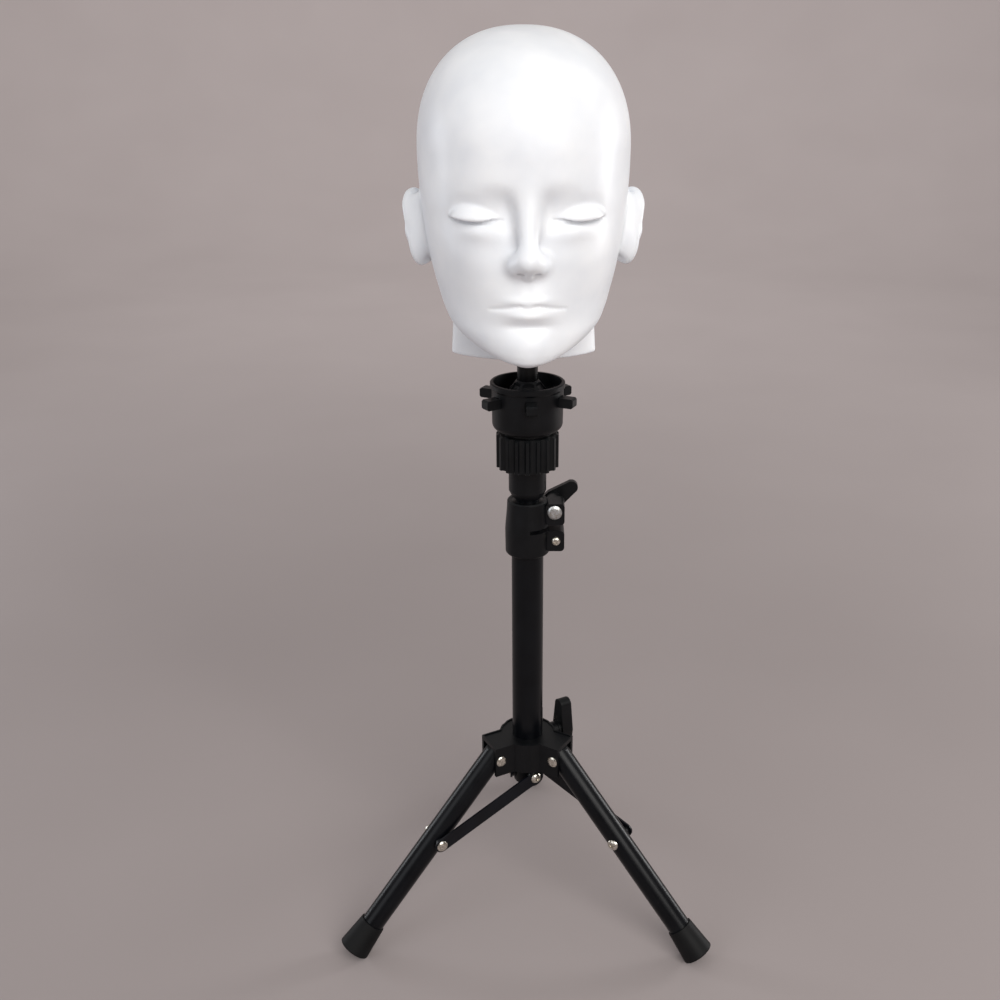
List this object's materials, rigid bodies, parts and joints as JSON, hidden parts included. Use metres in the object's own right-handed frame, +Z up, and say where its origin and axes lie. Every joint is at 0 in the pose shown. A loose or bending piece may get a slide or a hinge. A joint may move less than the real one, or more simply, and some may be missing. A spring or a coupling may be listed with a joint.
{
  "type": "mannequin training head",
  "caption": "White training head with closed eyes, on a desktop tripod with folding braced legs, a height clamp, a swivel mast and an expanding jaw holder.",
  "frame": {"origin": "on the floor, on the column's axis", "axes": "+Z up along the column, the face looks along -Y"},
  "size_m": [0.3089, 0.2847, 0.7265],
  "materials": {
    "black_coated_tube": "satin black powder coat",
    "black_plastic": "moulded black nylon, fine grain",
    "black_soft_plastic": "black plastic, slightly worn",
    "nickel_screw": "bright nickel plate",
    "zinc_steel": "zinc plated",
    "black_rubber": "matt rubber",
    "black_strap": "black coated flat steel",
    "white_vinyl": "white satin soft vinyl",
    "white_liner": "natural acetal",
    "post_plastic": "smooth black"
  },
  "bodies": {
    "column": {"outer_tube": "black_coated_tube", "brace_hub": "black_plastic", "brace_pivot_screws": "nickel_screw", "clamp_collar": "black_plastic", "collar_liner": "post_plastic", "collar_bolt": "zinc_steel", "collar_fixing_screw": "nickel_screw", "collar_fixing_nut": "zinc_steel"},
    "collar_knob": {"collar_knob": "black_soft_plastic", "collar_knob_nut": "zinc_steel"},
    "tube_bush": {"tube_bush": "white_liner"},
    "mast": {"inner_tube": "black_coated_tube", "inner_tube_cap": "black_plastic", "holder_stem": "black_plastic", "post_screw": "zinc_steel", "holder_post": "post_plastic", "holder_cup": "black_plastic", "thrust_washer": "post_plastic"},
    "grip_knob": {"grip_knob": "black_soft_plastic"},
    "spreader_cone": {"spreader_cone": "black_plastic"},
    "head": {"head_shell": "white_vinyl", "neck_plug": "white_vinyl", "neck_socket": "black_plastic"},
    "leg_hub": {"leg_hub": "black_plastic", "leg_pivot_bolts": "nickel_screw"},
    "hub_knob": {"hub_knob": "black_soft_plastic", "hub_knob_screw": "zinc_steel"},
    "jaw_1": {"jaw_1": "black_soft_plastic"},
    "jaw_2": {"jaw_2": "black_soft_plastic"},
    "jaw_3": {"jaw_3": "black_soft_plastic"},
    "jaw_4": {"jaw_4": "black_soft_plastic"},
    "jaw_5": {"jaw_5": "black_soft_plastic"},
    "jaw_6": {"jaw_6": "black_soft_plastic"},
    "leg_1": {"leg_tube_1": "black_coated_tube", "leg_plug_1": "black_plastic", "foot_1": "black_rubber", "brace_bolt_1": "nickel_screw", "brace_spacer_1": "black_plastic"},
    "brace_1": {"brace_1": "black_strap", "brace_rivet_head_1": "nickel_screw"},
    "leg_2": {"leg_tube_2": "black_coated_tube", "leg_plug_2": "black_plastic", "foot_2": "black_rubber", "brace_bolt_2": "nickel_screw", "brace_spacer_2": "black_plastic"},
    "brace_2": {"brace_2": "black_strap", "brace_rivet_head_2": "nickel_screw"},
    "leg_3": {"leg_tube_3": "black_coated_tube", "leg_plug_3": "black_plastic", "foot_3": "black_rubber", "brace_bolt_3": "nickel_screw", "brace_spacer_3": "black_plastic"},
    "brace_3": {"brace_3": "black_strap", "brace_rivet_head_3": "nickel_screw"}
  },
  "joints": [
    {"name": "collar_knob_turn", "type": "hinge", "parent": "column", "child": "collar_knob", "pos_m": [0.0212, 0.02, 0.3745], "axis": [0, 1, 0], "range_deg": [-180, 0]},
    {"name": "height_slide", "type": "slide", "parent": "column", "child": "tube_bush", "axis": [0, 0, 1], "range_m": [0, 0.15]},
    {"name": "mast_turn", "type": "hinge", "parent": "tube_bush", "child": "mast", "pos_m": [0, 0, 0.2], "axis": [0, 0, 1], "continuous": true},
    {"name": "grip_turn", "type": "hinge", "parent": "mast", "child": "grip_knob", "pos_m": [0, 0, 0.424], "axis": [0, 0, 1], "range_deg": [0, 720]},
    {"name": "cone_slide", "type": "slide", "parent": "mast", "child": "spreader_cone", "axis": [0, 0, -1], "range_m": [0, 0.0076]},
    {"name": "head_lift", "type": "slide", "parent": "mast", "child": "head", "axis": [0, 0, 1], "range_m": [0, 0.06]},
    {"name": "hub_slide", "type": "slide", "parent": "column", "child": "leg_hub", "axis": [0, 0, 1], "range_m": [0, 0.15]},
    {"name": "hub_knob_turn", "type": "hinge", "parent": "leg_hub", "child": "hub_knob", "pos_m": [0.03, 0.01656, 0.163], "axis": [0.8755, 0.4833, 0], "range_deg": [0, 180]},
    {"name": "jaw_1_slide", "type": "slide", "parent": "mast", "child": "jaw_1", "axis": [-0.0872, 0.9962, 0], "range_m": [0, 0.0061]},
    {"name": "jaw_2_slide", "type": "slide", "parent": "mast", "child": "jaw_2", "axis": [-0.9063, 0.4226, 0], "range_m": [0, 0.0061]},
    {"name": "jaw_3_slide", "type": "slide", "parent": "mast", "child": "jaw_3", "axis": [-0.8192, -0.5736, 0], "range_m": [0, 0.0061]},
    {"name": "jaw_4_slide", "type": "slide", "parent": "mast", "child": "jaw_4", "axis": [0.0872, -0.9962, 0], "range_m": [0, 0.0061]},
    {"name": "jaw_5_slide", "type": "slide", "parent": "mast", "child": "jaw_5", "axis": [0.9063, -0.4226, 0], "range_m": [0, 0.0061]},
    {"name": "jaw_6_slide", "type": "slide", "parent": "mast", "child": "jaw_6", "axis": [0.8192, 0.5736, 0], "range_m": [0, 0.0061]},
    {"name": "leg_1_fold", "type": "hinge", "parent": "leg_hub", "child": "leg_1", "pos_m": [-0.02788, -0.01539, 0.157], "axis": [0.4833, -0.8755, 0], "range_deg": [0, 42.2]},
    {"name": "brace_1_fold", "type": "hinge", "parent": "column", "child": "brace_1", "pos_m": [0, 0, 0.131], "axis": [-0.4833, 0.8755, 0], "range_deg": [0, 93.5]},
    {"name": "leg_2_fold", "type": "hinge", "parent": "leg_hub", "child": "leg_2", "pos_m": [0.02726, -0.01645, 0.157], "axis": [0.5165, 0.8563, 0], "range_deg": [0, 42.2]},
    {"name": "brace_2_fold", "type": "hinge", "parent": "column", "child": "brace_2", "pos_m": [0, 0, 0.131], "axis": [-0.5165, -0.8563, 0], "range_deg": [0, 93.5]},
    {"name": "leg_3_fold", "type": "hinge", "parent": "leg_hub", "child": "leg_3", "pos_m": [0.00061, 0.03183, 0.157], "axis": [-0.9998, 0.0192, 0], "range_deg": [0, 42.2]},
    {"name": "brace_3_fold", "type": "hinge", "parent": "column", "child": "brace_3", "pos_m": [0, 0, 0.131], "axis": [0.9998, -0.0192, 0], "range_deg": [0, 93.5]}
  ],
  "couplings": [
    {"joint": "cone_slide", "follows": "grip_turn", "m_per_rad": 0.00059683},
    {"joint": "jaw_1_slide", "follows": "grip_turn", "m_per_rad": 0.00047746},
    {"joint": "jaw_2_slide", "follows": "grip_turn", "m_per_rad": 0.00047746},
    {"joint": "jaw_3_slide", "follows": "grip_turn", "m_per_rad": 0.00047746},
    {"joint": "jaw_4_slide", "follows": "grip_turn", "m_per_rad": 0.00047746},
    {"joint": "jaw_5_slide", "follows": "grip_turn", "m_per_rad": 0.00047746},
    {"joint": "jaw_6_slide", "follows": "grip_turn", "m_per_rad": 0.00047746},
    {"joint": "leg_1_fold", "follows": "hub_slide", "rad_per_m": 4.8986},
    {"joint": "brace_1_fold", "follows": "hub_slide", "rad_per_m": 10.868},
    {"joint": "leg_2_fold", "follows": "hub_slide", "rad_per_m": 4.8986},
    {"joint": "brace_2_fold", "follows": "hub_slide", "rad_per_m": 10.868},
    {"joint": "leg_3_fold", "follows": "hub_slide", "rad_per_m": 4.8986},
    {"joint": "brace_3_fold", "follows": "hub_slide", "rad_per_m": 10.868}
  ]
}
